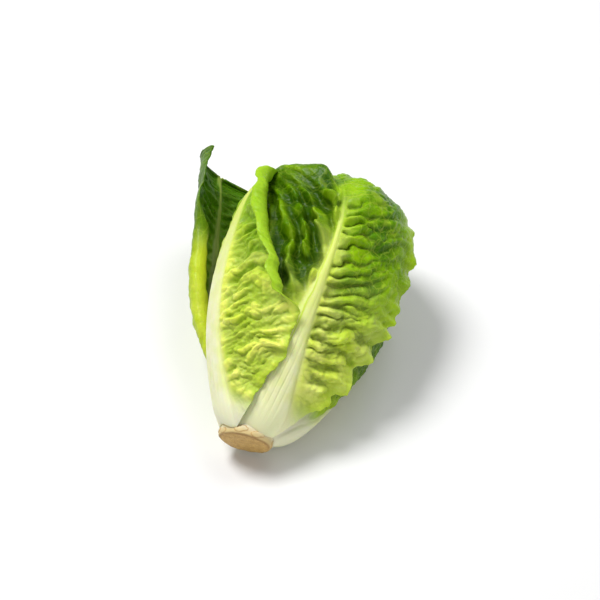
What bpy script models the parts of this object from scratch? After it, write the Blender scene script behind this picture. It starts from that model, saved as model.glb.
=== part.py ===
"""A short upright lettuce head (mini cos type) lying on its back.

The cut stem points to -Y, the tips point to +Y and a little up, and +X is to the right.
Every leaf is a cupped sheet of its own, and the leaves are nested round a short core.
Places on the head are given as s, the distance along the head from the stem cut,
and as an azimuth round it: 0 degrees is the upper side, +90 the right side, 180 the floor side.
"""
import math
import bmesh
import bpy
import numpy as np
from mathutils import Matrix

# the whole head
HEAD_LENGTH = 0.141         # stem cut to the closed top
HALF_WIDTH = 0.055          # widest half width of the loose outer leaves, across X
HALF_HEIGHT = 0.041         # widest half height
BUNDLE_SHIFT = 0.0075       # the wrapped leaves lean this far to the right of the stem's axis
BUNDLE_LEAN = 0.0045        # and this much further at their tips
BELLY_SHARE = 0.648         # share of the length at which the head is widest
HEART_SHARE = 0.667         # share at which the nested leaves' common centre lies
SWELL_POWER = 0.95          # below 1 fills the outline out just above the stem
TOP_BLUNTNESS = 2.4         # 2 is a round top, more is blunter
TOP_CLOSED = 0.995          # the outline stops just short of a point
UNDERSIDE_SHARE = 0.9475    # how level the underside lies, from the stem to the belly
REST_PRESS = 0.0035         # how far the head's own weight flattens the lowest leaf

# stem and core
STEM_RADIUS = 0.0128        # at the cut
LEAVES_START = 0.007        # the outer leaves leave the stem this far above the cut
CORE_SHARE = 0.36           # share of the head's length that the core reaches
CUT_BEVEL = 0.0008
CORE_STEPS = 28

# leaves
LEAF_THICKNESS = 0.0010
CLEARANCE = 0.0005          # smallest gap between neighbours
SHEET_ROOM = 1.2            # a bent sheet takes up this much more than its thickness
SHEET_PITCH = SHEET_ROOM * LEAF_THICKNESS + CLEARANCE
OUTER_ROWS = 20
OUTER_COLUMNS = 14
INNER_ROWS = 14
INNER_COLUMNS = 10
WIDEST_TURN = 70.0          # degrees, the most that half a leaf wraps round the head
SMALLEST_WIDTH = 0.0035     # half width of a leaf's blunt tip
PROFILE_STEPS = 400         # steps in which the head's outline is measured

# Each leaf: azimuth of its midrib, half width at its base and at its widest, where along its length
# it is widest, how blunt its tip is, share of the head's profile that it follows, layer at its left
# margin, midrib and right margin (1 is the head's own outline, smaller is deeper in), how far its
# top stays open, its lift off the floor in sheets, and whether it is one of the wrapped leaves.
OUTER_LEAVES = {
    "leaf_back": dict(
        azimuth=180, base=0.011, width=0.040, widest=0.60, bluntness=2.2, reach=0.86,
        layers=(1.050, 1.003, 1.050), drop=0, opening=0.85, sheet=0, wrapped=False),
    "leaf_left": dict(
        azimuth=-124, base=0.011, width=0.045, widest=0.55, bluntness=2.3, reach=0.97,
        layers=(0.892, 0.995, 1.075), drop=0, opening=0.85, sheet=2, wrapped=False),
    "leaf_right": dict(
        azimuth=136, base=0.011, width=0.044, widest=0.45, bluntness=1.6, reach=0.82,
        layers=(1.090, 1.000, 0.957), drop=0, opening=0.85, sheet=1, wrapped=False),
    "leaf_right_inner": dict(
        azimuth=154, base=0.011, width=0.044, widest=0.66, bluntness=2.4, reach=0.94,
        layers=(1.025, 0.900, 0.825), drop=0, opening=0.30, sheet=3, wrapped=False),
    "leaf_front_left": dict(
        azimuth=-60, base=0.012, width=0.049, widest=0.52, bluntness=1.5, reach=0.95,
        layers=(0.945, 0.985, 1.030), drop=0, opening=0.0, sheet=0, wrapped=True),
    "leaf_front_right": dict(
        azimuth=19, base=0.012, width=0.052, widest=0.66, bluntness=2.6, reach=0.975,
        layers=(0.930, 0.985, 1.005), drop=0, opening=0.0, sheet=0, wrapped=True),
}
INNER_LEAVES = 4
HEART_LEAVES = 3
INNER_START = 0.87          # layer of the outermost inner leaf, on the upper side
HEART_START = 0.69          # layer of the outermost heart leaf, on the upper side
HEART_DROP = 0.08           # the inner layers lie this much deeper on the floor side
INNER_STEP = 0.045
HEART_STEP = 0.060
INNER_TURN = 137.5          # degrees from one inner leaf to the next
FIRST_TURN = -10.0
INNER_WIDTH = 0.050         # half width of an inner leaf at its widest
HEART_WIDTH = 0.055
INNER_REACH = 0.97
HEART_REACH = 0.98
INNER_BASE = 0.011
INNER_WIDEST = 0.60
INNER_BLUNTNESS = 2.2
INNER_SHEET = 4

COLOURS = {
    "outer": (0.16, 0.34, 0.05, 1),
    "inner": (0.42, 0.60, 0.14, 1),
    "heart": (0.70, 0.78, 0.32, 1),
    "stem": (0.72, 0.62, 0.42, 1),
}


def clear_scene():
    for thing in list(bpy.data.objects):
        bpy.data.objects.remove(thing)


def make_material(name, colour, roughness):
    material = bpy.data.materials.new(name)
    material.use_nodes = True
    shader = material.node_tree.nodes["Principled BSDF"]
    shader.inputs["Base Color"].default_value = colour
    shader.inputs["Roughness"].default_value = roughness
    shader.inputs["Metallic"].default_value = 0.0
    return material


def axis_rise():
    """Angle by which the axis rises to the tips, so that the belly lies down and the stem clears."""
    belly = BELLY_SHARE * HEAD_LENGTH
    return math.asin(UNDERSIDE_SHARE * (HALF_HEIGHT - STEM_RADIUS) / belly)


def head_frame():
    """Matrix from head coordinates (right, along, up) to the world, stem centre at the origin."""
    return Matrix.Rotation(axis_rise(), 4, "X")


def base_radius():
    """Radius of the circle on which the outer leaves stand round the stem."""
    return STEM_RADIUS + CLEARANCE + SHEET_ROOM * LEAF_THICKNESS


def rise_and_fall(s):
    """How far s has come from the leaf bases to the belly, and from the belly to the top."""
    belly = BELLY_SHARE * HEAD_LENGTH
    rise = np.clip((s - LEAVES_START) / (belly - LEAVES_START), 0, 1)
    fall = np.clip((s - belly) / (HEAD_LENGTH - belly), 0, 1)
    return rise, fall


def profile_radius(s, widest):
    """Radius of the closed head's outline at s, for the half size `widest`."""
    start = base_radius()
    rise, fall = rise_and_fall(s)
    swell = start + (widest - start) * np.sin(rise * math.pi / 2) ** SWELL_POWER
    return swell * np.sqrt(1 - np.minimum(fall, TOP_CLOSED) ** TOP_BLUNTNESS)


def profile_station(share):
    """s at an equal step along the outline, from the base (0) to the top (1)."""
    s = np.linspace(LEAVES_START, HEAD_LENGTH, PROFILE_STEPS)
    radius = profile_radius(s, HALF_WIDTH)
    run = np.concatenate([[0], np.cumsum(np.hypot(np.diff(s), np.diff(radius)))])
    return np.interp(share, run / run[-1], s)


def layer_at(layers, across):
    """Layer between the left margin, the midrib and the right margin, for across in -1..1."""
    left, middle, right = layers
    return middle + (right - left) / 2 * across + ((right + left) / 2 - middle) * across ** 2


def leaf_half_width(leaf, along):
    """Half width of a leaf from its base (0) to its tip (1)."""
    swell = np.sin(np.clip(along / leaf["widest"], 0, 1) * math.pi / 2)
    past = np.clip((along - leaf["widest"]) / (1 - leaf["widest"]), 0, 1)
    narrowing = np.sqrt(1 - past ** leaf["bluntness"])
    half = (leaf["base"] + (leaf["width"] - leaf["base"]) * swell) * narrowing
    return np.maximum(half, SMALLEST_WIDTH)


def leaf_points(leaf, across, along, lift):
    """World points of a leaf's outer face, for across in -1..1 and along in 0..1."""
    s = profile_station(along * leaf["reach"])
    half = leaf_half_width(leaf, along)
    mean_radius = profile_radius(s, (HALF_WIDTH + HALF_HEIGHT) / 2)
    belly_radius = (HALF_WIDTH + HALF_HEIGHT) / 2
    turn = across * np.minimum(half / mean_radius, math.radians(WIDEST_TURN))
    layer = layer_at(leaf["layers"], turn * belly_radius / leaf["width"])
    azimuth = math.radians(leaf["azimuth"]) + turn
    rise, fall = rise_and_fall(s)
    shift = BUNDLE_SHIFT + BUNDLE_LEAN * rise ** 2 if leaf["wrapped"] else 0
    half_width = HALF_WIDTH - shift
    layer = layer - leaf["drop"] * (1 - np.cos(azimuth)) / 2
    open_share = leaf["opening"] * fall
    wide = profile_radius(s, half_width)
    high = profile_radius(s, HALF_HEIGHT)
    swell = (wide - base_radius()) / (half_width - base_radius())
    wide += open_share * (half_width - wide)
    high += open_share * (HALF_HEIGHT - high)
    heart = HEART_SHARE * HEAD_LENGTH
    along_head = heart + layer * (s - heart)
    right = layer * wide * np.sin(azimuth) + shift * np.clip(swell, 0, 1)
    up = layer * high * np.cos(azimuth)
    points = np.stack([right, along_head, up], axis=-1)
    turned = points @ np.array(head_frame().to_3x3()).T
    turned[..., 2] = np.maximum(turned[..., 2], lift)
    return turned


def floor_level():
    """Height of the floor below the stem centre."""
    s = np.linspace(LEAVES_START, HEAD_LENGTH, PROFILE_STEPS)
    rise = axis_rise()
    underside = s * math.sin(rise) - profile_radius(s, HALF_HEIGHT) * math.cos(rise)
    return underside.min() + REST_PRESS


def add_leaf(name, leaf, rows, columns, material, collection):
    sheet = bmesh.new()
    bmesh.ops.create_grid(sheet, x_segments=columns, y_segments=rows, size=1.0)
    grid = np.array([vert.co for vert in sheet.verts])
    lift = floor_level() + leaf["sheet"] * SHEET_PITCH
    points = leaf_points(leaf, grid[:, 0], (grid[:, 1] + 1) / 2, lift)
    for vert, point in zip(sheet.verts, points):
        vert.co = point
    mesh = bpy.data.meshes.new(name)
    sheet.to_mesh(mesh)
    sheet.free()
    mesh.shade_smooth()
    mesh.materials.append(material)
    thing = bpy.data.objects.new(name, mesh)
    collection.objects.link(thing)
    shell = thing.modifiers.new("Blade", "SOLIDIFY")
    shell.thickness = LEAF_THICKNESS
    shell.offset = -1
    return thing


def add_core(material, collection):
    """The stem and the core in one: a cut butt that tapers up between the leaf bases."""
    heart = HEART_SHARE * HEAD_LENGTH
    length = CORE_SHARE * HEAD_LENGTH
    slope = base_radius() / (heart - LEAVES_START)
    inset = CLEARANCE + SHEET_ROOM * LEAF_THICKNESS
    top = slope * (heart - length) - inset
    outline = [
        (0.0, length),
        (top, length),
        (STEM_RADIUS, LEAVES_START),
        (STEM_RADIUS, CUT_BEVEL),
        (STEM_RADIUS - CUT_BEVEL, 0.0),
        (0.0, 0.0),
    ]
    mesh = bpy.data.meshes.new("core_stem")
    edges = [(i, i + 1) for i in range(len(outline) - 1)]
    mesh.from_pydata([(radius, 0, height) for radius, height in outline], edges, [])
    mesh.materials.append(material)
    core = bpy.data.objects.new("core_stem", mesh)
    collection.objects.link(core)
    turned = core.modifiers.new("Turned", "SCREW")
    turned.steps = CORE_STEPS
    turned.render_steps = CORE_STEPS
    turned.use_merge_vertices = True
    turned.merge_threshold = 0.00001
    turned.use_normal_calculate = False
    core.matrix_world = head_frame() @ Matrix.Rotation(math.radians(-90), 4, "X")
    return core


def inner_leaf(number, layer, width, reach):
    return dict(
        azimuth=FIRST_TURN + number * INNER_TURN, base=INNER_BASE, width=width, widest=INNER_WIDEST,
        bluntness=INNER_BLUNTNESS, reach=reach, layers=(layer, layer, layer), drop=HEART_DROP,
        opening=0.0, sheet=INNER_SHEET, wrapped=True)


def build_leaves(collection):
    outer = make_material("leaf_outer", COLOURS["outer"], 0.42)
    inner = make_material("leaf_inner", COLOURS["inner"], 0.45)
    heart = make_material("leaf_heart", COLOURS["heart"], 0.50)
    made = []
    for name, leaf in OUTER_LEAVES.items():
        made.append(add_leaf(name, leaf, OUTER_ROWS, OUTER_COLUMNS, outer, collection))
    for number in range(INNER_LEAVES):
        leaf = inner_leaf(number, INNER_START - number * INNER_STEP, INNER_WIDTH, INNER_REACH)
        made.append(add_leaf(f"leaf_inner_{number + 1}", leaf, INNER_ROWS, INNER_COLUMNS, inner, collection))
    for number in range(HEART_LEAVES):
        turn = INNER_LEAVES + number
        leaf = inner_leaf(turn, HEART_START - number * HEART_STEP, HEART_WIDTH, HEART_REACH)
        made.append(add_leaf(f"leaf_heart_{number + 1}", leaf, INNER_ROWS, INNER_COLUMNS, heart, collection))
    return made


def stand_on_origin(things):
    """Moves everything so that the middle of the head's footprint is at the origin, on z = 0."""
    bpy.context.view_layer.update()
    depsgraph = bpy.context.evaluated_depsgraph_get()
    corners = []
    for thing in things:
        shape = thing.evaluated_get(depsgraph)
        corners += [tuple(shape.matrix_world @ vert.co) for vert in shape.data.vertices]
    corners = np.array(corners)
    middle = (corners.min(axis=0) + corners.max(axis=0)) / 2
    shift = Matrix.Translation((-middle[0], -middle[1], -corners[:, 2].min()))
    for thing in things:
        thing.matrix_world = shift @ thing.matrix_world


def main():
    clear_scene()
    collection = bpy.data.collections.new("lettuce_head")
    bpy.context.scene.collection.children.link(collection)
    things = build_leaves(collection)
    stem = make_material("stem", COLOURS["stem"], 0.6)
    things.append(add_core(stem, collection))
    stand_on_origin(things)


main()
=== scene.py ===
import math

import bpy
import numpy as np
from mathutils import Matrix, Vector


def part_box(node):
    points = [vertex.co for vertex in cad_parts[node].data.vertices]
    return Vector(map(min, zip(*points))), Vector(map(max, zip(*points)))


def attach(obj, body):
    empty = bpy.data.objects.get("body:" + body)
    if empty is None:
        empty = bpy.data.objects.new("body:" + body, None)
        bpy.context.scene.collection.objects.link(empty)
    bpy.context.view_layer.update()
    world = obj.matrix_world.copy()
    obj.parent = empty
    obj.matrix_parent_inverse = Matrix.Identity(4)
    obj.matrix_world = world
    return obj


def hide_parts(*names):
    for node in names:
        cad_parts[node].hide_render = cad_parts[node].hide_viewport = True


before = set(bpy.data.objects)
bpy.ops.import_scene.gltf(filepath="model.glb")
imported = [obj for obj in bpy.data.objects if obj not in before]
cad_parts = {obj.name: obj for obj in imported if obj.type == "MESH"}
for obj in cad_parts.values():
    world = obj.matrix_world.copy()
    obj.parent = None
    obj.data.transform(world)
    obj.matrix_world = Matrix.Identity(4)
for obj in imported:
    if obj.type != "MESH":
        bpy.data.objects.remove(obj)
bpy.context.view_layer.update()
print("frame loaded:", len(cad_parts), "nodes")

mm = 0.001

# the head's own space: x to the right, s along the axis from the cut, h up, all in mm
head = {
    "length": 141.0,
    "belly": 91.0,          # s where the head is widest
    "heart": 94.0,          # s that the nested leaves shrink towards
    "leavesStart": 7.0,     # s where the outer leaves leave the stem
    "looseHalf": 55.0,      # half width of the loose outer leaves
    "wrappedHalf": 47.5,    # half width of the wrapped leaves
    "wrappedShift": 7.5,    # the wrapped leaves lean this far to the right
    "swellPower": 0.95,     # less fills the outline out sooner above the stem
    "blunt": 3.0,           # 2 is a round top, more is blunter
    "closed": 0.995,        # share of the top that the outer leaves close
    "heartClosed": 0.9999,  # and the inner and heart leaves
    "halfHeight": 41.0,
    "baseRadius": 14.4,     # round which the leaf bases stand
    "axisRise": 17.0,       # degrees
    "outlineSteps": 400,
    "mostTurn": 78.0,       # degrees that a leaf reaches round the head on each side of its midrib
}

coreLow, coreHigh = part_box("core_stem")
stemRadius = (coreHigh.x - coreLow.x) / 2 / mm
rise = math.radians(head["axisRise"])
axisWay = Vector((0, math.cos(rise), math.sin(rise)))
upWay = Vector((0, -math.sin(rise), math.cos(rise)))
stemCentre = Vector((
    (coreLow.x + coreHigh.x) / 2,
    coreLow.y + stemRadius * mm * math.sin(rise),
    coreLow.z + stemRadius * mm * math.cos(rise),
))


def toWorld(points):
    # points (..., 3) as x, s, h in mm
    x, s, h = points[..., 0:1] * mm, points[..., 1:2] * mm, points[..., 2:3] * mm
    return np.array(stemCentre) + x * np.array((1, 0, 0)) + s * np.array(axisWay) + h * np.array(upWay)


def smooth(low, high, value):
    share = np.clip((value - low) / (high - low), 0, 1)
    return share * share * (3 - 2 * share)


def bump(value, middle, reach):
    # 1 at the middle, fading to 0 at about twice the reach
    return np.exp(-((value - middle) / reach) ** 2)


def softNoise(x, y, seed):
    # smooth gradient noise, about -0.7 to 0.7
    turns = np.random.default_rng(seed).uniform(0, 2 * math.pi, (64, 64))
    xCell, yCell = np.floor(x).astype(int), np.floor(y).astype(int)
    xIn, yIn = x - xCell, y - yCell

    def corner(dx, dy):
        turn = turns[(xCell + dx) % 64, (yCell + dy) % 64]
        return np.cos(turn) * (xIn - dx) + np.sin(turn) * (yIn - dy)

    xMix = xIn ** 3 * (xIn * (xIn * 6 - 15) + 10)
    yMix = yIn ** 3 * (yIn * (yIn * 6 - 15) + 10)
    low = corner(0, 0) + xMix * (corner(1, 0) - corner(0, 0))
    high = corner(0, 1) + xMix * (corner(1, 1) - corner(0, 1))
    return low + yMix * (high - low)


def creased(x, y, seed):
    # rounded folds with sharp creases between them, 1 in a crease
    return 1 - np.abs(softNoise(x, y, seed)) * 2.6


def cells(x, y, seed):
    # pillows between a net of creases: 0 on a crease, up to about 0.8 inside a cell
    spots = np.random.default_rng(seed).uniform(0.1, 0.9, (64, 64, 2))
    xCell, yCell = np.floor(x).astype(int), np.floor(y).astype(int)
    nearest = np.full(x.shape, 9.0)
    second = np.full(x.shape, 9.0)
    for dx in (-1, 0, 1):
        for dy in (-1, 0, 1):
            spot = spots[(xCell + dx) % 64, (yCell + dy) % 64]
            gap = np.hypot(xCell + dx + spot[..., 0] - x, yCell + dy + spot[..., 1] - y)
            second = np.minimum(second, np.maximum(gap, nearest))
            nearest = np.minimum(nearest, gap)
    return np.clip(second - nearest, 0, 1)


def headRadius(s, widest, swellPower=head["swellPower"], closed=head["closed"]):
    # the head's outline: it swells from the leaf bases to the belly and closes at the top
    start = head["baseRadius"]
    rising = np.clip((s - head["leavesStart"]) / (head["belly"] - head["leavesStart"]), 0, 1)
    falling = np.clip((s - head["belly"]) / (head["length"] - head["belly"]), 0, 1)
    swell = start + (widest - start) * np.sin(rising * math.pi / 2) ** swellPower
    return swell * np.sqrt(1 - np.minimum(falling, closed) ** head["blunt"])


def outlineRun(closed):
    # s in small steps, and the length of the outline up to each
    s = np.linspace(head["leavesStart"], head["length"], head["outlineSteps"])
    radius = headRadius(s, head["looseHalf"], closed=closed)
    return s, np.concatenate([[0], np.cumsum(np.hypot(np.diff(s), np.diff(radius)))])


def stationAt(share, closed):
    s, run = outlineRun(closed)
    return np.interp(share, run / run[-1], s)


outlineLength = outlineRun(head["closed"])[1][-1]

# a leaf in its place on the head

foot = {"height": 3.6, "wave": 0.9, "waves": 5, "reach": 0.075}    # the leaf base on the stem
innerDent = {"depth": 0.125, "turn": 0.1, "wide": 0.28, "s": 102, "long": 26}
frill = {"lobe": 15.0, "smallLobe": 5.0, "tooth": 2.3}             # lengths along the margin, mm
onFloor = {"sheet": 1.6, "clear": 0.02, "blade": 0.60}             # leaves stack up on the floor, mm


def halfWidth(leaf, t):
    swell = np.sin(np.clip(t / leaf["widest"], 0, 1) * math.pi / 2)
    past = np.clip((t - leaf["widest"]) / (1 - leaf["widest"]), 0, 1)
    if "point" in leaf:
        narrowing = (1 - past) ** leaf["point"]
    else:
        narrowing = np.sqrt(np.clip(1 - past ** leaf["bluntness"], 0, 1))
    half = (leaf["base"] + (leaf["width"] - leaf["base"]) * swell) * narrowing
    return np.maximum(half, leaf["tipHalf"])


def frillOutline(leaf, t, side):
    # lobes and fine teeth along one margin, in mm
    seed = leaf["seed"] + (11 if side > 0 else 23)
    s = t * leaf["reach"] * outlineLength
    lobes = 1.6 * softNoise(s / frill["lobe"], s * 0 + seed * 0.37, seed)
    lobes += 0.7 * softNoise(s / frill["smallLobe"], s * 0 + seed * 0.71, seed + 1) * smooth(0.75, 0.45, t)
    toothAt = s / frill["tooth"] + 0.4 * softNoise(s / 5, s * 0, seed + 2)
    teeth = np.abs(toothAt % 1 - 0.5) * 2 - 0.5
    return (leaf["lobes"] * lobes + leaf["teeth"] * teeth) * smooth(0.06, 0.16, t)


def layerAt(leaf, turn):
    left, middle, right = leaf["layers"]
    across = turn * (head["looseHalf"] + head["halfHeight"]) / 2 / leaf["width"]
    across = np.clip(across, -1.15, 1.15)
    return middle + (right - left) / 2 * across + ((right + left) / 2 - middle) * across ** 2


def placeOnHead(leaf, t, y):
    # the leaf's smooth middle surface: t from base to tip, y across in mm
    closed = head["closed"] if leaf["root"] else head["heartClosed"]
    s = stationAt(np.clip(t, 0, 1) * leaf["reach"], closed)
    meanRadius = headRadius(s, (head["looseHalf"] + head["halfHeight"]) / 2)
    mostTurn = math.radians(head["mostTurn"])
    turn = np.clip(y / meanRadius, -mostTurn, mostTurn)
    azimuth = np.radians(leaf["azimuth"] + leaf["swing"] * smooth(0.15, 0.85, t)) + turn
    layer = layerAt(leaf, turn) - leaf["drop"] * (1 - np.cos(azimuth)) / 2
    if not leaf["root"]:
        # the inner leaves are dented below the hollow of the front right leaf
        nearTop = bump(np.sin((azimuth + innerDent["turn"]) / 2), 0, innerDent["wide"])
        layer = layer - innerDent["depth"] * nearTop * bump(s, innerDent["s"], innerDent["long"])
    topward = leaf["lean"] * smooth(40, 105, s)
    half = head["wrappedHalf"] - topward if leaf["wrapped"] else head["looseHalf"]
    shift = head["wrappedShift"] + topward if leaf["wrapped"] else 0
    openShare = leaf["opening"] * np.clip((s - head["belly"]) / (head["length"] - head["belly"]), 0, 1)
    wide = headRadius(s, half, leaf["swellPower"], closed)
    high = headRadius(s, head["halfHeight"], closed=closed)
    swell = np.clip((wide - head["baseRadius"]) / (half - head["baseRadius"]), 0, 1)
    wide = wide + openShare * (half - wide)
    high = high + openShare * (head["halfHeight"] - high)
    points = np.stack([
        layer * wide * np.sin(azimuth) + shift * swell,
        head["heart"] + layer * (s - head["heart"]),
        layer * high * np.cos(azimuth),
    ], axis=-1)
    if "bend" in leaf:
        # the top is drawn aside: x, s and h in mm, from this share of the leaf on
        start, move = leaf["bend"]
        points = points + smooth(start, 1.0, t)[..., None] * np.array(move)
    if leaf["root"]:
        # the base runs down onto the stem
        low = foot["height"] + foot["wave"] * np.sin(azimuth * foot["waves"] + leaf["seed"])
        onStem = np.stack([stemRadius * np.sin(azimuth), low, stemRadius * np.cos(azimuth)], axis=-1)
        share = (1 - smooth(-0.02, foot["reach"], t))[..., None]
        points = points + (onStem - points) * share
    return points


def unit(vectors):
    return vectors / np.maximum(np.linalg.norm(vectors, axis=-1, keepdims=True), 1e-9)


def ways(points):
    # unit ways across, along and outward at each point of a grid (rows run from base to tip)
    across = unit(np.gradient(points, axis=1))
    along = unit(np.gradient(points, axis=0))
    return across, along, unit(np.cross(across, along))


def perSide(pair, y):
    return np.where(y < 0, pair[0], pair[1])


def layOut(leaf):
    # the leaf laid flat: t from base to tip, v from margin to margin, y across and s along in mm
    rows, columns = leaf["grid"]
    t = np.linspace(0, 1, rows)[:, None] * np.ones((1, columns))
    t = 1 - (1 - t) ** 1.08
    v = np.linspace(-1, 1, columns)[None, :] * np.ones((rows, 1))
    half = halfWidth(leaf, t)
    leftHalf = half * leaf["leftShare"] + frillOutline(leaf, t, -1)
    sideHalf = np.where(v < 0, leftHalf, half + frillOutline(leaf, t, 1))
    y = v * sideHalf
    # midrib: wide at the base, a thread at the tip
    ribUp = np.clip(1 - t / leaf["ribEnd"], 0, 1) ** leaf["ribTaper"]
    ribHalf = leaf["ribTip"] + (leaf["ribBase"] - leaf["ribTip"]) * ribUp
    return {
        "t": t, "v": v, "y": y, "s": t * leaf["reach"] * outlineLength,
        "sideHalf": sideHalf, "fromEdge": sideHalf * (1 - np.abs(v)),
        "ribHalf": ribHalf, "offRib": np.clip(np.abs(y) - ribHalf, 0, None),
        "blade": smooth(0.85, 1.5, np.abs(y) / ribHalf),
    }


def pleatPhase(leaf, sheet):
    # pleats run from the midrib outward and up towards the tip
    y, s, seed = sheet["y"], sheet["s"], leaf["seed"]
    folded = (y < 0) & leaf["longFolds"]
    way = s - perSide(leaf["slant"], y) * np.abs(y) - 0.006 * y ** 2
    way = way + 6.0 * softNoise(s / 19, y / 15, seed) + 2.6 * softNoise(s / 7, y / 9, seed + 1)
    way = way + leaf["pleatBreak"] * softNoise(s / 3.2, y / 3.6, seed + 20) * np.where(folded, 0.3, 1)
    return way / perSide(leaf["pleatPitch"], y) + perSide((0.37, 0), y)


# each of the Height functions gives a relief in mm, outward

def pleatHeight(leaf, sheet, phase):
    t, y, s, offRib = sheet["t"], sheet["y"], sheet["s"], sheet["offRib"]
    folded = (y < 0) & leaf["longFolds"]
    pleat = np.sqrt(np.abs(np.sin(math.pi * phase)) + 1e-3)
    longFold = 0.38 + 1.05 * (0.5 + 0.5 * np.cos(2 * math.pi * phase)) ** 1.4
    pleat = np.where(folded, longFold, pleat) * (1 + 1.3 * softNoise(s / 8, y / 14, leaf["seed"] + 13))
    # strongest beside the midrib, none at the base and the tip
    share = smooth(0, 3.0, offRib) * np.exp(-(offRib / perSide(leaf["pleatFade"], y)) ** 1.5)
    until = perSide(leaf["pleatUntil"], y)
    share = share * smooth(leaf["pleatFrom"], leaf["pleatFrom"] + 0.18, t)
    share = share * (1 - smooth(until, until + 0.14, t))
    share = share * np.where(folded, smooth(2, 13, sheet["fromEdge"]) * smooth(0.42, 0.50, t), 1)
    return perSide(leaf["pleatDepth"], y) * share * (pleat - 0.75)


def pillowHeight(leaf, sheet):
    # pillows between the smaller veins, broad dents and fine crinkle
    y, s, blade, seed = sheet["y"], sheet["s"], sheet["blade"], leaf["seed"]
    warpS = (s + 2.5 * softNoise(s / 8, y / 8, seed + 3)) / leaf["pillow"]
    warpY = (y + 2.5 * softNoise(s / 8, y / 8, seed + 4)) / leaf["pillow"]
    pillow = cells(warpS, warpY * 0.8, seed + 5)
    small = cells(warpS * 2.3, warpY * 2.3, seed + 6)
    pillows = np.sqrt(pillow) - 0.5 + 0.3 * (np.sqrt(small) - 0.5)
    broad = softNoise(s / 24, y / 19, seed + 7) + 0.5 * softNoise(s / 12, y / 11, seed + 8)
    crinkle = 0.12 * softNoise(s / 1.6, y / 1.6, seed + 9)
    return blade * (leaf["pillowHeight"] * pillows + perSide(leaf["dents"], y) * broad + crinkle)


def crumpleHeight(leaf, sheet):
    t, y, s, seed = sheet["t"], sheet["y"], sheet["s"], leaf["seed"]
    foldS = s - 0.3 * np.abs(y) + 6 * softNoise(s / 18, y / 15, seed + 14)
    folds = creased(foldS / 8.5, y / 24, seed + 15)
    folds += 0.55 * creased(foldS / 4.0, y / 8, seed + 16)
    folds += 0.28 * creased(foldS / 1.9, y / 3.5, seed + 19)
    left, right = leaf["crumple"]
    share = np.where(y < 0, left, right * (1 - leaf["calmTop"] * smooth(0.3, 0.55, t)))
    share = share * sheet["blade"] * smooth(0.05, 0.2, t) * smooth(0, 9, sheet["offRib"])
    return share * (0.35 + 0.65 * smooth(0, 8, sheet["fromEdge"])) * (0.7 - folds)


def ruffleHeight(leaf, sheet):
    # the margins wave in and out
    t, v, y, s, seed = sheet["t"], sheet["v"], sheet["y"], sheet["s"], leaf["seed"]
    turn = s / leaf["rufflePitch"] + 1.4 * softNoise(s / 21, np.sign(v) * 3.3, seed + 10)
    wave = np.sin(2 * math.pi * turn) * (0.8 + 1.2 * softNoise(s / 17, np.sign(v) * 5.1, seed + 17))
    wave += 0.8 * softNoise(s / 4.5, y / 6, seed + 18) + leaf["ruffleOut"] * (v > 0)
    share = np.exp(-sheet["fromEdge"] / leaf["ruffleReach"]) * smooth(0.05, 0.2, t) * sheet["blade"]
    share = share * (1 - leaf["tipCalm"] * smooth(0.72, 0.88, t))
    share = share * (1 + leaf["lowRuffle"] * smooth(0.62, 0.42, t) * (v > 0))
    return leaf["ruffle"] * wave * share


def rolledCalm(leaf, sheet):
    # rolled margins stay fairly smooth
    calm = 1
    for curl in leaf["curls"]:
        rolled = np.sign(sheet["v"]) == curl["side"]
        rolled = rolled * smooth(curl["start"], curl["start"] + 0.08, sheet["t"])
        calm = calm * (1 - 0.6 * rolled * smooth(curl["width"] + 5, curl["width"] - 2, sheet["fromEdge"]))
    return calm


def ribFurrows(leaf, sheet, ribShare):
    # long furrows on the midrib
    y, s = sheet["y"], sheet["s"]
    furrows = np.sin(y * 2.6 + 0.6 * softNoise(s / 20, y / 4, leaf["seed"] + 12))
    return 0.10 * furrows * ribShare * smooth(0.02, 0.1, sheet["t"])


def curlMargin(leaf, sheet, curl, points, across, outward):
    # rolls a margin round a circle; a negative radius rolls it inward
    t, s, side, radius = sheet["t"], sheet["s"], curl["side"], abs(curl["radius"])
    share = (np.sign(sheet["v"]) == side) * smooth(curl["start"], curl["start"] + 0.07, t)
    share = share * (1 - smooth(curl["end"] - 0.12, curl["end"], t))
    share = share * (1 + 0.2 * softNoise(s / 11, 0 * s + side, leaf["seed"] + 21))
    width = np.minimum(curl["width"], 0.55 * sheet["sideHalf"])
    q = np.clip(width - sheet["fromEdge"], 0, None) * share
    sideways = radius * np.sin(q / radius) - q
    lifted = np.sign(curl["radius"]) * radius * (1 - np.cos(q / radius))
    return points + side * across * sideways[..., None] + outward * lifted[..., None]


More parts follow.
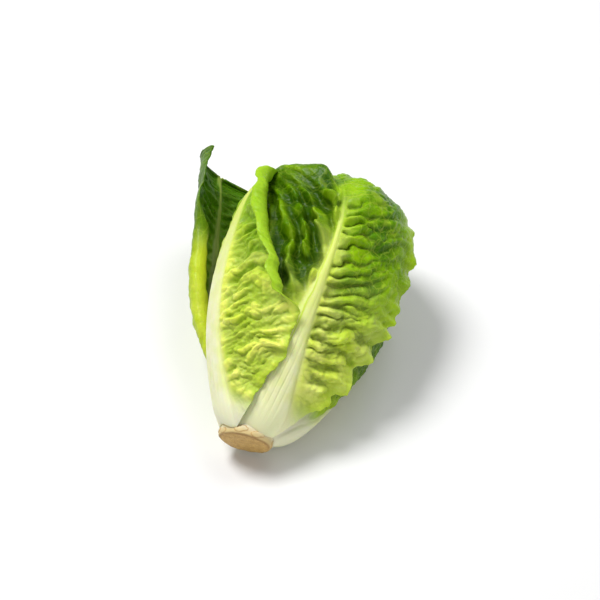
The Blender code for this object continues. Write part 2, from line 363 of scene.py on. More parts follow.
def shapeLeaf(leaf, sheet):
    # outer and inner surface of the leaf, and what its material reads
    t, y, ribHalf = sheet["t"], sheet["y"], sheet["ribHalf"]
    points = placeOnHead(leaf, t, y)
    if "form" in leaf:
        points = leaf["form"](points, t, y)
    across, _, outward = ways(points)

    ribShare = np.clip(1 - (np.abs(y) / ribHalf) ** 2, 0, 1)
    phase = pleatPhase(leaf, sheet)
    height = pleatHeight(leaf, sheet, phase) + pillowHeight(leaf, sheet)
    height += crumpleHeight(leaf, sheet) + ruffleHeight(leaf, sheet)
    height *= rolledCalm(leaf, sheet)
    height += ribFurrows(leaf, sheet, ribShare)
    points = points + outward * height[..., None]
    for curl in leaf["curls"]:
        points = curlMargin(leaf, sheet, curl, points, across, outward)
    outward = ways(points)[2]

    # the midrib stands out of both surfaces, and is thickest at the base
    ribThick = (leaf["ribThick"] * (1 - smooth(0.0, 1.0, t)) ** 1.3 + 0.5) * smooth(-0.01, 0.06, t)
    ribThick = ribThick * np.sqrt(ribShare)
    outer = points + outward * (ribThick * leaf["ribOut"])[..., None]
    inner = points - outward * (leaf["bladeThick"] + ribThick * (1 - leaf["ribOut"]))[..., None]
    ribFaded = 1 - 0.95 * smooth(leaf["ribFade"], leaf["ribFade"] + 0.18, t)
    tone = {
        "rib": smooth(1.35, 0.75, np.abs(y) / ribHalf) * ribFaded,
        "phase": phase,
        # hollow is the relief height, from which the leaf material paints shade into the creases
        "hollow": np.clip(0.5 + height * 0.25, 0, 1),
    }
    return outer, inner, tone


def sheetFaces(rows, columns):
    # quads of the two sides and of the rim round them, and the number of rim quads
    count = rows * columns
    index = np.arange(count).reshape(rows, columns)
    a, b = index[:-1, :-1].ravel(), index[:-1, 1:].ravel()
    c, d = index[1:, 1:].ravel(), index[1:, :-1].ravel()
    border = np.concatenate([index[0, :], index[1:, -1], index[-1, -2::-1], index[-2:0:-1, 0]])
    after = np.roll(border, -1)
    rim = np.stack([after, border, border + count, after + count], 1)
    return np.concatenate([np.stack([a, b, c, d], 1), np.stack([a, d, c, b], 1) + count, rim]), len(border)


def writeVectors(mesh, name, first, second, third):
    layer = mesh.attributes.new(name=name, type="FLOAT_VECTOR", domain="POINT")
    layer.data.foreach_set("vector", np.stack([first, second, third], 1).astype(np.float32).ravel())


def writeMap(mesh, rows, columns, faces, rimCount):
    # the two sides lie beside each other on the map, and the rim shares the outer side's edge
    count = rows * columns
    u = np.linspace(0.01, 0.485, columns)[None, :] * np.ones((rows, 1))
    w = np.linspace(0.01, 0.99, rows)[:, None] * np.ones((1, columns))
    mapPlaces = np.concatenate([
        np.stack([u.ravel(), w.ravel()], 1),
        np.stack([u.ravel() + 0.505, w.ravel()], 1),
    ])
    corners = faces.copy()
    rim = corners[-rimCount:]
    rim[rim >= count] -= count
    uvMap = mesh.uv_layers.new(name="OFBake")
    uvMap.data.foreach_set("uv", mapPlaces[corners.ravel()].ravel())


def makeLeaf(leaf, material):
    sheet = layOut(leaf)
    outer, inner, tone = shapeLeaf(leaf, sheet)
    rows, columns = leaf["grid"]
    count = rows * columns
    outerWorld = toWorld(outer).reshape(-1, 3)
    innerWorld = toWorld(inner).reshape(-1, 3)
    floorAt = leaf["lift"] * onFloor["sheet"] + onFloor["clear"]
    outerWorld[:, 2] = np.maximum(outerWorld[:, 2], floorAt * mm)
    innerWorld[:, 2] = np.maximum(innerWorld[:, 2], (floorAt + onFloor["blade"]) * mm)
    verts = np.concatenate([outerWorld, innerWorld])
    faces, rimCount = sheetFaces(rows, columns)

    mesh = bpy.data.meshes.new(leaf["node"])
    mesh.vertices.add(len(verts))
    mesh.vertices.foreach_set("co", verts.ravel())
    mesh.loops.add(len(faces) * 4)
    mesh.loops.foreach_set("vertex_index", faces.ravel())
    mesh.polygons.add(len(faces))
    mesh.polygons.foreach_set("loop_start", np.arange(len(faces)) * 4)
    mesh.update()
    mesh.validate()

    # places and tones that the leaf material reads, the same on both sides of the sheet
    both = {name: np.tile(values.ravel(), 2) for name, values in {**sheet, **tone}.items()}
    isInner = np.repeat([0.0, 1.0], count)
    writeVectors(mesh, "spot", both["y"], both["s"], isInner)
    writeVectors(mesh, "tone", both["rib"], both["offRib"], both["fromEdge"])
    writeVectors(mesh, "veins", both["phase"], both["t"], both["hollow"])
    writeMap(mesh, rows, columns, faces, rimCount)

    mesh.shade_smooth()
    mesh.materials.append(material)
    thing = bpy.data.objects.new(leaf["node"] + "_blade", mesh)
    bpy.context.scene.collection.objects.link(thing)
    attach(thing, "root")
    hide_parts(leaf["node"])
    print("leaf made:", leaf["node"], len(faces), "faces")


# materials

def addNode(tree, kind, settings=None, **inputs):
    node = tree.nodes.new(kind)
    for name, value in (settings or {}).items():
        setattr(node, name, value)
    for name, value in inputs.items():
        fillSocket(tree, node.inputs[name.replace("_", " ")], value)
    return node


def fillSocket(tree, socket, value):
    if isinstance(value, bpy.types.NodeSocket):
        tree.links.new(value, socket)
    else:
        socket.default_value = value


def sums(tree, way, first, second=0.0, third=None, clamp=False):
    node = tree.nodes.new("ShaderNodeMath")
    node.operation = way
    node.use_clamp = clamp
    fillSocket(tree, node.inputs[0], first)
    fillSocket(tree, node.inputs[1], second)
    if third is not None:
        fillSocket(tree, node.inputs[2], third)
    return node.outputs[0]


def between(tree, value, low, high, toLow=0.0, toHigh=1.0):
    node = tree.nodes.new("ShaderNodeMapRange")
    node.interpolation_type = "SMOOTHSTEP"
    for place, filled in enumerate((value, low, high, toLow, toHigh)):
        fillSocket(tree, node.inputs[place], filled)
    return node.outputs[0]


def blend(tree, share, first, second, way="MIX"):
    node = tree.nodes.new("ShaderNodeMix")
    node.data_type = "RGBA"
    node.blend_type = way
    fillSocket(tree, node.inputs[0], share)
    fillSocket(tree, node.inputs[6], first)
    fillSocket(tree, node.inputs[7], second)
    return node.outputs[2]


def noiseOf(tree, place, scale, detail=3.0, roughness=0.5):
    node = tree.nodes.new("ShaderNodeTexNoise")
    fillSocket(tree, node.inputs["Vector"], place)
    node.inputs["Scale"].default_value = scale
    node.inputs["Detail"].default_value = detail
    node.inputs["Roughness"].default_value = roughness
    return node


def parts(tree, name):
    # the three numbers of one of the vectors written on the mesh
    source = tree.nodes.new("ShaderNodeAttribute")
    source.attribute_name = name
    split = tree.nodes.new("ShaderNodeSeparateXYZ")
    tree.links.new(source.outputs["Vector"], split.inputs[0])
    return split.outputs[0], split.outputs[1], split.outputs[2]


leafSurface = {"bump": 0.55, "bumpDepth": 0.35, "glowReach": (0.6, 1.0, 0.2), "glowDepth": 2.2,
               "specular": 0.11, "coatRough": 0.2}     # depths in mm


def leafMaterial(name, look):
    material = bpy.data.materials.new(name)
    material.use_nodes = True
    tree = material.node_tree
    shader = tree.nodes["Principled BSDF"]
    across, along, side = parts(tree, "spot")
    rib, offRib, edge = parts(tree, "tone")
    phase, t, hollow = parts(tree, "veins")

    # green of the blade: darker and lighter clouds, darker towards the tip
    flat = addNode(tree, "ShaderNodeCombineXYZ", X=across, Y=along).outputs[0]
    cloud = noiseOf(tree, flat, 0.06, 4).outputs[0]
    green = blend(tree, between(tree, cloud, 0.35, 0.65), look["dark"], look["mid"])
    tipward = between(tree, t, look["greenFrom"], look["greenFull"])
    pale = blend(tree, between(tree, cloud, 0.3, 0.7), look["pale"], look["lime"])
    # the pale zone reaches further up beside the midrib
    nearRib = between(tree, offRib, look["paleReach"], 0.5)
    nearRib = sums(tree, "MULTIPLY", nearRib, between(tree, t, 0.95, 0.45))
    greenShare = sums(tree, "SUBTRACT", tipward, sums(tree, "MULTIPLY", nearRib, 0.75), clamp=True)
    colour = blend(tree, greenShare, pale, green)

    # painted shade: creases and low places in the relief darken towards the deep green, pillows keep the
    # lighter colour
    colour = blend(tree, between(tree, hollow, 0.62, 0.25, 0, look["crease"]), colour, look["deep"])

    # painted shade: the hollow beside the front rib is darkened towards deep green, most where the relief
    # lies low
    hollowShadeShare = sums(tree, "MULTIPLY", between(tree, across, -2.0, -9.0), between(tree, t, 0.35, 0.46))
    hollowShadeShare = sums(tree, "MULTIPLY", hollowShadeShare, between(tree, t, 0.93, 0.84, 0.25, 1.0))
    shadeByDepth = between(tree, hollow, 0.95, 0.3, look["hollowShadeShow"] * 0.45, look["hollowShadeShow"])
    hollowShadeShare = sums(tree, "MULTIPLY", hollowShadeShare, shadeByDepth)
    colour = blend(tree, hollowShadeShare, colour, look["deep"])

    # side veins follow the pleats, with a fine net between them
    wobble = noiseOf(tree, flat, 0.22, 2).outputs["Color"]
    bent = addNode(tree, "ShaderNodeVectorMath", {"operation": "MULTIPLY_ADD"})
    fillSocket(tree, bent.inputs[0], wobble)
    bent.inputs[1].default_value = (5, 5, 0)
    fillSocket(tree, bent.inputs[2], flat)
    turn = sums(tree, "FRACT", sums(tree, "MULTIPLY", phase, 0.5))
    lines = sums(tree, "ABSOLUTE", sums(tree, "SUBTRACT", turn, 0.5))
    sideVein = between(tree, lines, 0.05, 0.012)
    sideVein = sums(tree, "MULTIPLY", sideVein, between(tree, offRib, 34, 4))
    net = addNode(tree, "ShaderNodeTexVoronoi", {"feature": "DISTANCE_TO_EDGE"}, Vector=bent.outputs[0])
    net.inputs["Scale"].default_value = 0.17
    netLine = sums(tree, "MULTIPLY", between(tree, net.outputs["Distance"], 0.055, 0.01), 0.75)
    fineNet = addNode(tree, "ShaderNodeTexVoronoi", {"feature": "DISTANCE_TO_EDGE"}, Vector=bent.outputs[0])
    fineNet.inputs["Scale"].default_value = 0.5
    fineLine = sums(tree, "MULTIPLY", between(tree, fineNet.outputs["Distance"], 0.08, 0.02), 0.3)
    veinShare = sums(tree, "MAXIMUM", sideVein, sums(tree, "MAXIMUM", netLine, fineLine))
    offRibShare = sums(tree, "SUBTRACT", 1.0, rib, clamp=True)
    veinShare = sums(tree, "MULTIPLY", veinShare, offRibShare)
    # the side veins fade under the painted hollow shade
    outsideHollowShade = sums(tree, "SUBTRACT", 1.0, sums(tree, "MULTIPLY", hollowShadeShare, 0.7))
    veinShare = sums(tree, "MULTIPLY", veinShare, outsideHollowShade)
    colour = blend(tree, sums(tree, "MULTIPLY", veinShare, look["veinShow"]), colour, look["vein"])

    # yellow margin, ivory midrib
    margin = sums(tree, "MULTIPLY", between(tree, edge, look["marginReach"], 0.3, 0, look["marginShow"]),
                  between(tree, t, look["marginUntil"] + 0.12, look["marginUntil"]))
    colour = blend(tree, margin, colour, look["margin"])
    ribCloud = noiseOf(tree, flat, 0.12, 3).outputs[0]
    ribColour = blend(tree, between(tree, ribCloud, 0.3, 0.7), look["rib"], look["ribGreen"])
    ribUp = between(tree, t, look["ribFrom"], look["ribFrom"] + 0.5)
    ribColour = blend(tree, ribUp, ribColour, look["ribTip"])
    # a thin green line runs up the front rib
    lineWay = sums(tree, "ABSOLUTE", sums(tree, "ADD", across, sums(tree, "MULTIPLY", cloud, 3.0)))
    line = sums(tree, "MULTIPLY", between(tree, lineWay, 0.5, 0.1), between(tree, t, 0.12, 0.22))
    ribColour = blend(tree, sums(tree, "MULTIPLY", line, look["lineShow"]), ribColour, look["lime"])
    colour = blend(tree, rib, colour, ribColour)
    colour = blend(tree, between(tree, t, look["baseReach"], 0.03), colour, look["rib"])

    # the inner side has a green of its own
    colour = blend(tree, sums(tree, "MULTIPLY", side, look["innerShow"]), colour, look["inside"])
    tree.links.new(colour, shader.inputs["Base Color"])

    fine = noiseOf(tree, flat, 1.4, 3, 0.6).outputs[0]
    gloss = sums(tree, "ADD", between(tree, fine, 0.3, 0.7, look["rough"] - 0.06, look["rough"] + 0.08),
                 sums(tree, "MULTIPLY", rib, 0.06))
    tree.links.new(gloss, shader.inputs["Roughness"])

    raised = sums(tree, "MULTIPLY", veinShare, 0.5)
    grain = sums(tree, "MULTIPLY", fine, 0.35)
    streaks = addNode(tree, "ShaderNodeMapping", Vector=flat)
    streaks.inputs["Scale"].default_value = (1.6, 0.08, 1)
    streak = noiseOf(tree, streaks.outputs[0], 1.0, 4).outputs[0]
    ribGrain = sums(tree, "MULTIPLY", streak, sums(tree, "MULTIPLY", rib, 0.8))
    relief = sums(tree, "ADD", sums(tree, "ADD", raised, grain), ribGrain)
    bumpNode = addNode(tree, "ShaderNodeBump", Height=relief)
    bumpNode.inputs["Strength"].default_value = leafSurface["bump"]
    bumpNode.inputs["Distance"].default_value = leafSurface["bumpDepth"] * mm
    tree.links.new(bumpNode.outputs[0], shader.inputs["Normal"])

    shader.inputs["Subsurface Weight"].default_value = look["glow"]
    shader.inputs["Subsurface Radius"].default_value = leafSurface["glowReach"]
    shader.inputs["Subsurface Scale"].default_value = leafSurface["glowDepth"] * mm
    shader.inputs["Specular IOR Level"].default_value = leafSurface["specular"]
    shader.inputs["Coat Weight"].default_value = look["coat"]
    shader.inputs["Coat Roughness"].default_value = leafSurface["coatRough"]
    return material


def tint(red, green, blue):
    # sRGB 0-255 to linear
    def one(value):
        value /= 255
        return value / 12.92 if value <= 0.04045 else ((value + 0.055) / 1.055) ** 2.4
    return (one(red), one(green), one(blue), 1)


# deep is the green of the painted shade in creases and in the hollow by the front rib; crease sets how
# strongly creases are darkened towards it
outerLook = {
    "dark": tint(62, 108, 2), "mid": tint(104, 152, 6), "deep": tint(30, 64, 0),
    "pale": tint(214, 224, 104), "lime": tint(176, 204, 42),
    "vein": tint(190, 212, 70), "veinShow": 0.30,
    "margin": tint(170, 198, 52), "marginReach": 2.6, "marginShow": 0.75, "marginUntil": 1.2,
    "rib": tint(238, 238, 202), "ribGreen": tint(228, 232, 168), "ribTip": tint(206, 220, 104),
    "greenFrom": 0.30, "greenFull": 0.72, "paleReach": 16.0, "crease": 0.45, "baseReach": 0.14,
    "innerShow": 0.25, "inside": tint(104, 152, 6), "rough": 0.36, "coat": 0.04, "glow": 0.22,
    "ribFrom": 0.25, "lineShow": 0.0, "hollowShadeShow": 0.0,
}
frontLeftLook = dict(outerLook, dark=tint(96, 146, 14), mid=tint(134, 180, 20), deep=tint(88, 140, 4),
                     pale=tint(240, 250, 118), lime=tint(218, 238, 74), greenFrom=0.34, greenFull=0.84,
                     crease=0.5, veinShow=0.25, rough=0.34, inside=tint(156, 196, 36),
                     innerShow=0.8, coat=0.05, ribFrom=0.36)
frontRightLook = dict(outerLook, dark=tint(78, 128, 0), mid=tint(140, 186, 0), paleReach=10.0,
                      veinShow=0.4, deep=tint(36, 74, 0), margin=tint(176, 210, 30), marginReach=13.0,
                      marginShow=0.5, pale=tint(226, 238, 122), lime=tint(198, 222, 62), hollowShadeShow=0.85,
                      rib=tint(244, 246, 196), ribGreen=tint(236, 240, 164), ribTip=tint(214, 226, 118),
                      ribFrom=0.10, lineShow=0.8,
                      greenFrom=0.24, greenFull=0.60, crease=0.5, rough=0.30, coat=0.03)
leftLook = dict(outerLook, margin=tint(206, 224, 46), marginReach=17.0, marginShow=0.95, marginUntil=0.50,
                dark=tint(58, 100, 1), mid=tint(84, 128, 2), inside=tint(66, 112, 2), innerShow=0.6)
rightLook = dict(outerLook, dark=tint(58, 98, 1), mid=tint(88, 132, 2), lime=tint(128, 168, 8),
                 pale=tint(160, 194, 40), greenFrom=0.14, greenFull=0.4, paleReach=8.0)
rightInnerLook = dict(outerLook, margin=tint(216, 226, 150), marginReach=3.0, marginShow=0.9)
innerLook = dict(outerLook, dark=tint(120, 160, 46), mid=tint(160, 190, 70), deep=tint(96, 136, 30),
                 pale=tint(220, 226, 130), lime=tint(200, 214, 90), greenFrom=0.5, greenFull=1.0, crease=0.3)
heartLook = dict(innerLook, dark=tint(190, 206, 90), mid=tint(214, 220, 110), deep=tint(160, 180, 60),
                 pale=tint(236, 236, 160), lime=tint(222, 226, 120), crease=0.25)


frontRightForm = {
    "hollow": {"t": (0.70, 0.16), "y": (-17, 11), "deep": 4.6},
    "hood": {"t": (0.90, 0.06), "high": 6.5},
    "crease": {"y": (-2, 3), "deep": 2.5},
    "dome": {"t": (0.82, 0.11), "y": (21, 13), "high": 3.0},
    "notch": {"y": (1, 5), "deep": 5.0, "leftShorter": 3.0},
}


def formFrontRight(points, t, y):
    form = frontRightForm
    _, along, outward = ways(points)
    # hollow at the upper left of the midrib, under a hood that folds forward
    rises = -form["hollow"]["deep"] * bump(t, *form["hollow"]["t"]) * bump(y, *form["hollow"]["y"])
    rises = rises + form["hood"]["high"] * bump(t, *form["hood"]["t"]) * smooth(0, -9, y)
    rises = rises - form["crease"]["deep"] * bump(y, *form["crease"]["y"]) * smooth(0.68, 0.8, t)
    # the top right swells into a smooth dome
    rises = rises + form["dome"]["high"] * bump(t, *form["dome"]["t"]) * bump(y, *form["dome"]["y"])
    # the tip is notched at the midrib, and its left half reaches less far
    notch = form["notch"]["deep"] * bump(y, *form["notch"]["y"]) * smooth(0.84, 1.0, t)
    notch = notch + form["notch"]["leftShorter"] * smooth(2, -10, y) * smooth(0.7, 1.0, t)
    return points + outward * rises[..., None] - along * notch[..., None]


# what every leaf has unless it says otherwise; pairs are left and right of the midrib
common = {
    "slot": "leaf_outer", "grid": (200, 140), "root": True, "wrapped": False, "lift": 0, "drop": 0.0,
    "opening": 0.0, "lean": 0.0, "swing": 0.0, "swellPower": head["swellPower"], "leftShare": 1.0,
    "tipHalf": 2.0, "bladeThick": 0.5, "lobes": 1.6, "teeth": 0.3, "curls": [],
    "slant": (0.5, 0.5), "pleatPitch": (6.2, 6.2), "pleatFade": (17.0, 17.0), "pleatDepth": (2.4, 2.4),
    "pleatFrom": 0.06, "pleatUntil": (0.80, 0.80), "pleatBreak": 0.5, "longFolds": False,
    "pillow": 7.0, "pillowHeight": 0.9, "dents": (2.0, 2.0), "crumple": (0.7, 0.7), "calmTop": 0.0,
    "ruffle": 1.3, "rufflePitch": 19.0, "ruffleReach": 7.0, "lowRuffle": 0.0, "ruffleOut": 0.0,
    "tipCalm": 0.0,
    "ribBase": 13.0, "ribTip": 0.6, "ribEnd": 0.85, "ribTaper": 1.6, "ribThick": 5.0, "ribOut": 0.45,
    "ribFade": 1.2,
}

leafFrontLeft = dict(
    common, node="leaf_front_left", seed=101, azimuth=-63, swing=15, ribTaper=1.2, ribEnd=1.0, base=12,
    width=51, widest=0.50, point=0.62, reach=0.79, layers=(0.90, 0.995, 1.065), wrapped=True,
    grid=(280, 210), ribBase=14.0, tipHalf=1.0, leftShare=0.35, lobes=2.6, bend=(0.75, (1, 1, -3)),
    pleatDepth=(1.0, 1.6), pillowHeight=0.4, crumple=(1.0, 2.8),
    curls=[
        {"side": 1, "width": 13.0, "radius": 3.5, "start": 0.42, "end": 1.02},
        {"side": -1, "width": 10.0, "radius": -5.0, "start": 0.06, "end": 0.98},
    ],
)
leafFrontRight = dict(
    common, node="leaf_front_right", seed=202, azimuth=16, base=13.5, width=52, widest=0.66, bluntness=2.6,
    reach=0.895, layers=(0.905, 0.985, 1.045), wrapped=True, grid=(280, 210), ribBase=15.5, lean=3.5,
    ribTip=0.7, ribTaper=2.4, ribFade=0.62, leftShare=1.2, form=formFrontRight,
    slant=(1.6, 0.15), pleatDepth=(7.5, 5.8), pleatPitch=(19.0, 5.8), pleatFade=(32.0, 17.0),
    pleatFrom=0.18, pleatUntil=(0.73, 0.70), pleatBreak=1.5, longFolds=True,
    pillowHeight=0.35, crumple=(0.5, 2.2), calmTop=0.65, dents=(0.8, 1.6), lobes=2.6, teeth=0.7,
    ruffle=1.4, rufflePitch=12.0, lowRuffle=1.2, ruffleOut=0.9, tipCalm=0.85,
)
leafLeft = dict(
    common, node="leaf_left", seed=303, azimuth=-124, base=9, width=45, widest=0.55, bluntness=2.3,
    reach=0.97, layers=(0.88, 0.90, 0.90), opening=0.85, lift=2, bend=(0.45, (-17, 4, 0)),
    ruffle=0.7, lobes=0.6, teeth=0.0,
    curls=[{"side": 1, "width": 13.0, "radius": -7.0, "start": 0.10, "end": 0.72}],
)
leafRight = dict(
    common, node="leaf_right", seed=404, azimuth=136, base=19, width=44, leftShare=1.25, widest=0.45,
    bluntness=1.6, reach=0.84, layers=(0.925, 1.035, 0.97), opening=0.3, lift=1, swellPower=0.74,
    lobes=1.2, ruffle=0.8,
)
leafRightInner = dict(
    common, node="leaf_right_inner", seed=505, azimuth=154, base=11, width=44, widest=0.66, bluntness=2.4,
    reach=0.94, layers=(0.915, 0.87, 0.82), opening=0.65, lift=3, ruffle=0.6, teeth=0.0,
)
leafBack = dict(
    common, node="leaf_back", seed=606, azimuth=180, base=11, width=40, widest=0.6, bluntness=2.2,
    reach=0.86, layers=(1.05, 1.003, 1.0), opening=0.85, lift=0, lobes=0.7, teeth=0.0, ruffle=0.6,
)

outerLeaves = [leafFrontLeft, leafFrontRight, leafLeft, leafRight, leafRightInner, leafBack]
looks = {
    "leaf_front_left": frontLeftLook, "leaf_front_right": frontRightLook,
    "leaf_left": leftLook, "leaf_right": rightLook, "leaf_right_inner": rightInnerLook,
}
for leaf in outerLeaves:
    look = looks.get(leaf["node"], outerLook)
    makeLeaf(leaf, leafMaterial(leaf["node"], look))

innerLeaves = {"count": 4, "start": 0.86, "step": 0.045, "width": 54, "reach": 1.0, "turn": 137.5,
               "first": -10}
heartLeaves = {"count": 3, "start": 0.68, "step": 0.060, "width": 60, "reach": 1.0}

innerMaterial = leafMaterial("leafInner", innerLook)
heartMaterial = leafMaterial("leafHeart", heartLook)
quietGrid = (110, 80)
for number in range(innerLeaves["count"] + heartLeaves["count"]):
    isHeart = number >= innerLeaves["count"]
    group = heartLeaves if isHeart else innerLeaves
    place = number - innerLeaves["count"] if isHeart else number
    layer = group["start"] - place * group["step"]
    leaf = dict(
        common, node=f"leaf_{'heart' if isHeart else 'inner'}_{place + 1}", seed=700 + number * 10,
        slot="leaf_heart" if isHeart else "leaf_inner",
        azimuth=innerLeaves["first"] + number * innerLeaves["turn"], base=11, width=group["width"],
        widest=0.6, bluntness=2.2, reach=group["reach"], layers=(layer, layer, layer), drop=0.08,
        wrapped=True, lift=4, grid=quietGrid, ribBase=9.0, ribThick=2.0, root=False,
        pleatDepth=(1.0, 1.0), pillowHeight=0.5, dents=(0.4, 0.4), ruffle=0.4, crumple=(0.3, 0.3),
    )
    makeLeaf(leaf, heartMaterial if isHeart else innerMaterial)


# stem and core

stem = {"face": 26, "side": 40, "round": 200, "coreLength": 50.0, "rimRound": 0.8, "scars": 15}


def makeStem():
    # rings from the middle of the cut face, over the rim and up the side
    around = stem["round"]
    turn = np.linspace(0, 2 * math.pi, around, endpoint=False)[None, :]
    faceShare = np.linspace(0.02, 1, stem["face"])[:, None]
    sideShare = np.linspace(0, 1, stem["side"])[:, None] ** 1.6
    radius = stemRadius * (1 + 0.03 * np.sin(turn * 2 + 0.6) + 0.02 * np.sin(turn * 5 + 2))
    edge = radius - stem["rimRound"]
    faceRadius = faceShare * edge
    faceDepth = 0.25 * softNoise(faceRadius * np.cos(turn) / 3, faceRadius * np.sin(turn) / 3, 5)
    faceDepth = faceDepth + 0.35 * faceShare ** 6
    length = stem["coreLength"]
    sideAlong = stem["rimRound"] + (length - stem["rimRound"]) * sideShare * np.ones_like(turn)
    slope = head["baseRadius"] / (head["heart"] - head["leavesStart"])
    taper = slope * (head["heart"] - sideAlong) - 1.6
    coreRadius = np.minimum(radius, np.maximum(taper, 2.5))
    sideRadius = np.where(sideAlong < head["leavesStart"], radius, coreRadius)
    # leaf scars stand as low scallops just above the cut
    scar = np.zeros_like(sideRadius)
    for number in range(stem["scars"]):
        middle = number * 2 * math.pi / stem["scars"] + 0.35 * math.sin(number * 2.4)
        high = 2.4 + 0.7 * math.sin(number * 1.7 + 1)
        gap = (turn - middle + math.pi) % (2 * math.pi) - math.pi
        shape = 1 - (gap * stemRadius / 2.6) ** 2 - ((sideAlong - high) / 1.3) ** 2
        scar = np.maximum(scar, smooth(0, 0.5, shape))
    sideRadius = sideRadius + 0.5 * scar * smooth(12, 8, sideAlong)
    r = np.concatenate([faceRadius, sideRadius])
    s = np.concatenate([faceDepth - 0.1, sideAlong])
    turns = turn * np.ones((len(r), 1))
    grid = np.stack([r * np.sin(turns), s, r * np.cos(turns)], -1)
    rings = len(r)
    ends = toWorld(np.array([[0, 0, 0], [0, length, 0]], float))
    verts = np.concatenate([toWorld(grid).reshape(-1, 3), ends])
    faces = []
    for ring in range(rings - 1):
        for column in range(around):
            after = (column + 1) % around
            low, high = ring * around, (ring + 1) * around
            faces.append((low + column, high + column, high + after, low + after))
    first, last = rings * around, rings * around + 1
    for column in range(around):
        after = (column + 1) % around
        faces.append((first, column, after))
        faces.append((last, (rings - 1) * around + after, (rings - 1) * around + column))
    mesh = bpy.data.meshes.new("stem")
    mesh.from_pydata([tuple(vert) for vert in verts], [], faces)
    face = np.concatenate([np.ones(stem["face"] * around), np.zeros(stem["side"] * around), [1, 0]])
    scars = np.concatenate([np.zeros(stem["face"] * around), scar.ravel(), [0, 0]])
    sAll = np.concatenate([s.ravel(), [0, length]])
    rAll = np.concatenate([r.ravel(), [0, 0]])
    writeVectors(mesh, "tone", face, scars, rAll)
    xAll = np.concatenate([grid[..., 0].ravel(), [0, 0]])
    hAll = np.concatenate([grid[..., 2].ravel(), [0, 0]])
    writeVectors(mesh, "spot", xAll, sAll, hAll)
    mesh.shade_smooth()
    mesh.materials.append(stemMaterial())
    thing = bpy.data.objects.new("stem", mesh)
    bpy.context.scene.collection.objects.link(thing)
    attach(thing, "root")
    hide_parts("core_stem")
    print("stem made")


def stemMaterial():
    material = bpy.data.materials.new("stemCut")
    material.use_nodes = True
    tree = material.node_tree
    shader = tree.nodes["Principled BSDF"]
    face, scar, radius = parts(tree, "tone")
    across, along, up = parts(tree, "spot")
    spot = addNode(tree, "ShaderNodeCombineXYZ", X=across, Y=along, Z=up).outputs[0]
    cloud = noiseOf(tree, spot, 0.35, 5, 0.65).outputs[0]
    grain = noiseOf(tree, spot, 1.6, 4, 0.6).outputs[0]
    cut = blend(tree, between(tree, cloud, 0.3, 0.7), tint(184, 142, 70), tint(214, 178, 102))
    cut = blend(tree, between(tree, grain, 0.45, 0.75, 0, 0.6), cut, tint(150, 112, 64))
    rim = between(tree, radius, stemRadius - 2.2, stemRadius - 0.6)
    cut = blend(tree, sums(tree, "MULTIPLY", rim, 0.6), cut, tint(150, 104, 54))
    skin = blend(tree, between(tree, along, 1.0, 7.0), tint(214, 190, 130), tint(240, 238, 212))
    scarRing = between(tree, sums(tree, "ABSOLUTE", sums(tree, "SUBTRACT", scar, 0.45)), 0.4, 0.1)
    skin = blend(tree, sums(tree, "MULTIPLY", scarRing, 0.75), skin, tint(196, 146, 82))
    colour = blend(tree, face, skin, cut)
    tree.links.new(colour, shader.inputs["Base Color"])
    tree.links.new(between(tree, grain, 0.2, 0.8, 0.5, 0.75), shader.inputs["Roughness"])
    height = sums(tree, "ADD", cloud, sums(tree, "MULTIPLY", grain, 0.6))
    relief = addNode(tree, "ShaderNodeBump", Height=height)
    relief.inputs["Strength"].default_value = 0.7
    relief.inputs["Distance"].default_value = 0.5 * mm
    tree.links.new(relief.outputs[0], shader.inputs["Normal"])
    shader.inputs["Subsurface Weight"].default_value = 0.1
    shader.inputs["Subsurface Radius"].default_value = (1.0, 0.7, 0.4)
    shader.inputs["Subsurface Scale"].default_value = 1.5 * mm
    return material


makeStem()


# studio: pale floor, soft light, camera

studio = {
    "floorSize": 3.0,
    "floorDark": (0.86, 0.86, 0.86, 1), "floorPale": (0.88, 0.88, 0.88, 1),
    "world": 0.28,
    "lens": 100.0, "distance": 0.797, "azimuth": 15.0, "elevation": 50.0,
    "aimUp": 75.0,                   # mm along the axis
    "stemAside": -0.0333,            # the stem cut stands left of the view axis, as a share of its depth
    "stemBelow": 0.0861,             # and below it
    "lights": [
        ("keyLight", (-0.45, 0.10, 1.05), 0.45, 10.6),
        ("fillLight", (0.8, -0.6, 0.6), 0.9, 2.0),
        ("topLight", (0.3, 0.5, 1.1), 0.6, 3.5),
    ],
}


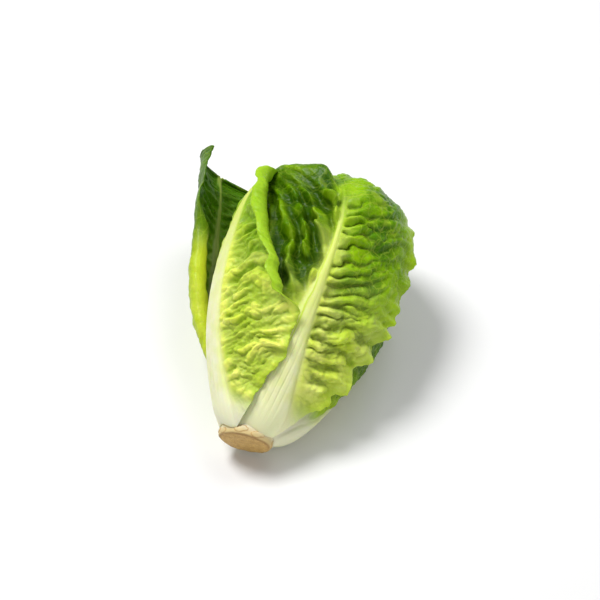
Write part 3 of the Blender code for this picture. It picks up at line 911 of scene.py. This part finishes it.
def makeFloor():
    bpy.ops.mesh.primitive_plane_add(size=studio["floorSize"], location=(0, 0, 0))
    floor = bpy.context.object
    floor.name = "floor"
    material = bpy.data.materials.new("paleFloor")
    material.use_nodes = True
    tree = material.node_tree
    shader = tree.nodes["Principled BSDF"]
    place = tree.nodes.new("ShaderNodeTexCoord").outputs["Object"]
    cloud = noiseOf(tree, place, 6.0, 2).outputs[0]
    shade = blend(tree, between(tree, cloud, 0.3, 0.7), studio["floorDark"], studio["floorPale"])
    tree.links.new(shade, shader.inputs["Base Color"])
    shader.inputs["Roughness"].default_value = 0.7
    shader.inputs["Specular IOR Level"].default_value = 0.1
    floor.data.materials.append(material)


def makeLights():
    for name, place, size, power in studio["lights"]:
        data = bpy.data.lights.new(name, "AREA")
        data.shape = "DISK"
        data.size = size
        data.energy = power
        light = bpy.data.objects.new(name, data)
        bpy.context.scene.collection.objects.link(light)
        light.location = place
        aim = Vector((0, 0, 0.04)) - Vector(place)
        light.rotation_euler = aim.to_track_quat("-Z", "Y").to_euler()
    world = bpy.data.worlds.new("studio")
    bpy.context.scene.world = world
    world.use_nodes = True
    world.node_tree.nodes["Background"].inputs["Color"].default_value = (1, 1, 1, 1)
    world.node_tree.nodes["Background"].inputs["Strength"].default_value = studio["world"]


def makeCamera():
    azimuth, elevation = math.radians(studio["azimuth"]), math.radians(studio["elevation"])
    back = Vector((
        math.sin(azimuth) * math.cos(elevation),
        -math.cos(azimuth) * math.cos(elevation),
        math.sin(elevation),
    ))
    right = Vector((math.cos(azimuth), math.sin(azimuth), 0))
    up = back.cross(right)
    data = bpy.data.cameras.new("camera")
    data.lens = studio["lens"]
    data.sensor_width = 36.0
    camera = bpy.data.objects.new("camera", data)
    bpy.context.scene.collection.objects.link(camera)
    depth = studio["distance"] + (axisWay * studio["aimUp"] * mm).dot(back)
    toStem = studio["stemAside"] * right - studio["stemBelow"] * up - back
    camera.location = stemCentre - depth * toStem
    turn = Matrix((right, up, back)).transposed()
    camera.rotation_euler = turn.to_euler()
    bpy.context.scene.camera = camera


makeFloor()
makeLights()
makeCamera()
bpy.context.scene.view_settings.view_transform = "Standard"

print("studio ready")
